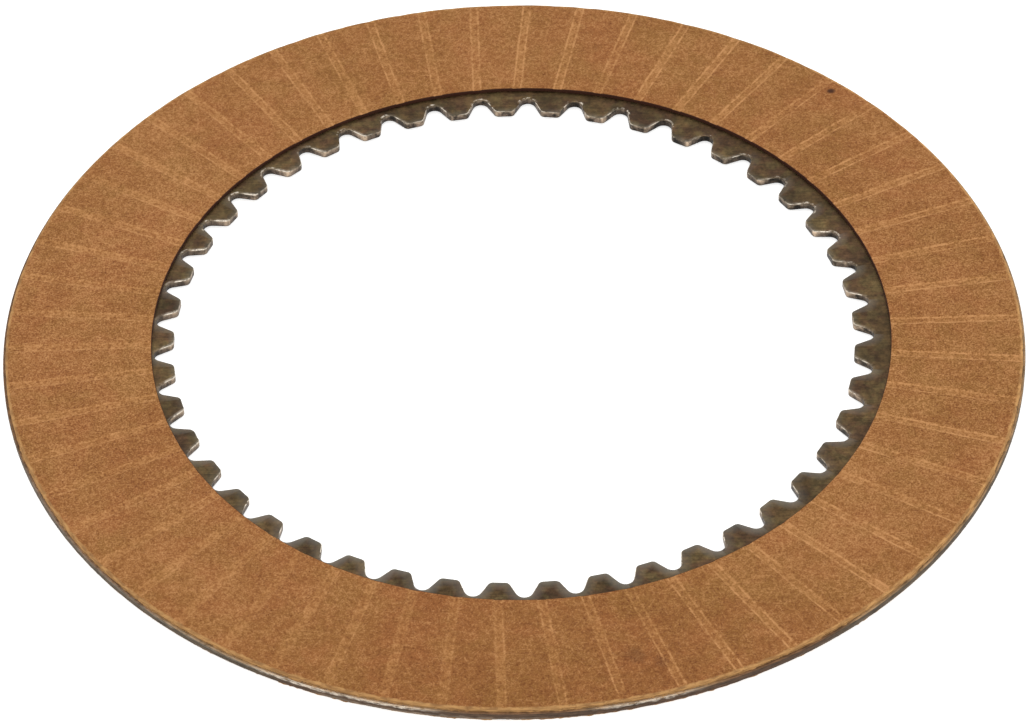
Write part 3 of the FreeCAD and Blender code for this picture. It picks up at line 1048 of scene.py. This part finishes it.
def cut_grooves(bm, sizes, high):
    """Cuts the mesh along both sides of every groove and lowers what lies between."""
    centre = Vector((sizes.groove_across, sizes.groove_along, 0))
    pitch = 2 * math.pi / sizes.groove_count
    beds = {}
    for face in bm.faces:
        place = face.calc_center_median() - centre
        turn = (math.atan2(place.y, place.x) - sizes.first_groove) / pitch
        number = round(turn)
        if abs(math.sin((turn - number) * pitch)) * place.xy.length < 1.8 * sizes.groove_width:
            beds.setdefault(number % sizes.groove_count, []).append(face)
    floor_half = (sizes.groove_width - sizes.groove_slope) / 2
    face_half = (sizes.groove_width + sizes.groove_slope) / 2
    for number in sorted(beds):
        turn = sizes.first_groove + number * pitch
        across = Vector((-math.sin(turn), math.cos(turn), 0))
        faces = beds[number]
        parts = set(faces)
        for face in faces:
            parts.update(face.edges)
            parts.update(face.verts)
        parts = sorted(parts, key=lambda part: (type(part).__name__, part.index))
        for offset in (-face_half, -floor_half, floor_half, face_half):
            cut = bmesh.ops.bisect_plane(
                bm,
                geom=parts,
                dist=0.2 * MERGE,
                plane_co=centre + across * offset,
                plane_no=across,
            )
            parts = cut["geom"]
        for corner in corners_of(parts):
            if abs((corner.co - centre).dot(across)) < floor_half + MERGE:
                corner.co.z = min(corner.co.z, high - sizes.groove_depth)


def fray_edges(bm, sizes, seed, border):
    """Lets the cut edges wander and pulls fibres out of the border next to the steel."""
    shift = Vector((0.37 * seed, 0.21 * seed, 0.13 * seed))
    for corner in bm.verts:
        co = corner.co
        radius = co.xy.length
        outward = Vector((co.x, co.y, 0)) / radius
        wander = two_waves(co, 260, 900, 0.5, shift)
        if radius > sizes.rim_radius - sizes.shoulder - MERGE:
            near = max(0.0, 1 - abs(co.z - border) / (0.35 * MM))
            pull = max(0.0, two_waves(co, 1500, 330, 0.4, shift))
            corner.co += outward * (wander * sizes.rag - abs(wander) * sizes.rag * 0.4)
            corner.co += outward * min(pull, 1.0) * sizes.fray * near
        elif radius < sizes.bore_radius + 3 * MM:
            corner.co -= outward * wander * sizes.rag * 0.5


# Studio


def add_floor(studio, colours):
    """A wide plain floor just under the plate."""
    bm = bmesh.new()
    bmesh.ops.create_grid(bm, x_segments=1, y_segments=1, size=studio.floor_radius)
    bmesh.ops.translate(bm, verts=bm.verts, vec=(0, 0, -0.02 * MM))
    add_mesh(bm, "floor", floor_material(colours))


def seen_directly(net):
    """A mask for what the camera, mirrors and clear things see, but not the light."""
    rays = net.add("ShaderNodeLightPath").outputs
    kinds = [rays[f"Is {kind} Ray"] for kind in ("Camera", "Glossy", "Transmission")]
    return reduce(partial(net.math, "MAXIMUM"), kinds)


def floor_material(colours):
    """A pale floor that cameras and mirrors see as white, with the plate's shadow on it."""
    material, net, shader = start_material("studio_floor")
    net.fill(
        shader,
        {
            "Base Color": (*colours.floor, 1.0),
            "Roughness": 1.0,
            "Specular IOR Level": 0.0,
            "Emission Color": (1, 1, 1, 1),
            "Emission Strength": net.times(seen_directly(net), 0.7),
        },
    )
    return material


def light_world(studio):
    """A soft even sky that cameras and mirrors see as plain white."""
    world = bpy.data.worlds.new("studio_sky")
    world.use_nodes = True
    world.node_tree.nodes.clear()
    net = Net(world.node_tree)
    level = net.mix(seen_directly(net), studio.sky_level, 1.0)
    sky = net.add("ShaderNodeBackground", {"Color": (1, 1, 1, 1), "Strength": level})
    net.add("ShaderNodeOutputWorld", {"Surface": sky.outputs["Background"]})
    bpy.context.scene.world = world


def add_lamp(name, place, width, power):
    """A square soft box that faces the middle of the plate."""
    lamp = bpy.data.lights.new(name, "AREA")
    lamp.shape = "SQUARE"
    lamp.size = width
    lamp.energy = power
    holder = bpy.data.objects.new(name, lamp)
    facing = Vector(place).to_track_quat("Z", "Y")
    holder.matrix_world = Matrix.Translation(place) @ facing.to_matrix().to_4x4()
    bpy.context.scene.collection.objects.link(holder)


def add_camera(studio):
    """The camera at the photograph's place, backed away from its target and rolled."""
    target = Matrix.Translation((studio.target_across, studio.target_along, UPPER_HIGH.z))
    lifted = Matrix.Rotation(math.pi / 2 - studio.lift, 4, "X")
    rolled = Matrix.Rotation(-studio.roll, 4, "Z")
    backed = Matrix.Translation((0, 0, studio.distance))
    camera = bpy.data.cameras.new("camera")
    camera.sensor_fit = "HORIZONTAL"
    camera.sensor_width = 36.0
    camera.lens = studio.lens
    camera.clip_start = 0.05
    camera.clip_end = 20.0
    holder = bpy.data.objects.new("camera", camera)
    holder.matrix_world = target @ lifted @ rolled @ backed
    bpy.context.scene.collection.objects.link(holder)
    bpy.context.scene.camera = holder


# Operators, panel and registration


class PLATE_OT_core(bpy.types.Operator):
    """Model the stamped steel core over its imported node"""

    bl_idname = "plate.core"
    bl_label = "Steel Core"

    def execute(self, context):
        core, _, _, colours = sizes_of(context)
        material = steel_material(core, colours)
        finish_piece(build_core(core), "stamped_core", "core_plate", material)
        return {"FINISHED"}


class PLATE_OT_facings(bpy.types.Operator):
    """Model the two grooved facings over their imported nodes"""

    bl_idname = "plate.facings"
    bl_label = "Facings"

    def execute(self, context):
        _, sizes, _, colours = sizes_of(context)
        material = facing_material(sizes, colours)
        upper = build_facing(sizes)
        lower = upper.copy()
        turned = Matrix.Translation((0, 0, 2 * MIDDLE_HEIGHT)) @ Matrix.Scale(-1, 4, Z_AXIS)
        bmesh.ops.transform(lower, matrix=turned, verts=lower.verts)
        fray_edges(upper, sizes, 1, UPPER_LOW.z)
        fray_edges(lower, sizes, 2, LOWER_LOW.z + 0.1 * MM)
        finish_piece(upper, "facing_top", "upper_facing", material)
        finish_piece(lower, "facing_under", "lower_facing", material)
        return {"FINISHED"}


class PLATE_OT_studio(bpy.types.Operator):
    """Set the floor, the lamps, the sky and the camera"""

    bl_idname = "plate.studio"
    bl_label = "Studio"

    def execute(self, context):
        _, _, studio, colours = sizes_of(context)
        context.scene.view_settings.view_transform = "Standard"
        add_floor(studio, colours)
        light_world(studio)
        add_lamp("front_box", (0.0, -0.78, 0.95), 0.6, studio.front_power)
        add_lamp("back_box", (-0.7, 0.8, 0.9), 0.8, studio.back_power)
        add_camera(studio)
        return {"FINISHED"}


class PLATE_PT_parts(bpy.types.Panel):
    """The plate's pieces and sizes"""

    bl_idname = "PLATE_PT_parts"
    bl_label = "Friction Plate"
    bl_space_type = "VIEW_3D"
    bl_region_type = "UI"
    bl_category = "Friction Plate"

    def draw(self, context):
        titles = ("Core", "Facings", "Studio", "Colours")
        operators = ("plate.core", "plate.facings", "plate.studio", None)
        for title, group, operator in zip(titles, sizes_of(context), operators):
            box = self.layout.box()
            box.label(text=title)
            for name in group.__annotations__:
                box.prop(group, name)
            if operator:
                box.operator(operator)


CLASSES = (
    CoreSizes,
    FacingSizes,
    StudioSizes,
    PlateColours,
    PLATE_OT_core,
    PLATE_OT_facings,
    PLATE_OT_studio,
    PLATE_PT_parts,
)


def register():
    for entry in CLASSES:
        bpy.utils.register_class(entry)
    bpy.types.Scene.plate_core = PointerProperty(type=CoreSizes)
    bpy.types.Scene.plate_facing = PointerProperty(type=FacingSizes)
    bpy.types.Scene.plate_studio = PointerProperty(type=StudioSizes)
    bpy.types.Scene.plate_colours = PointerProperty(type=PlateColours)


def unregister():
    del bpy.types.Scene.plate_colours
    del bpy.types.Scene.plate_studio
    del bpy.types.Scene.plate_facing
    del bpy.types.Scene.plate_core
    for entry in reversed(CLASSES):
        bpy.utils.unregister_class(entry)


def main():
    """Builds the dressed plate and its studio."""
    register()
    ring_position_group()
    soft_band_group()
    mottle_group()
    fleck_group()
    fibre_group()
    spokes_group()
    bpy.ops.plate.studio()
    bpy.ops.plate.core()
    bpy.ops.plate.facings()


if __name__ == "__main__":
    main()
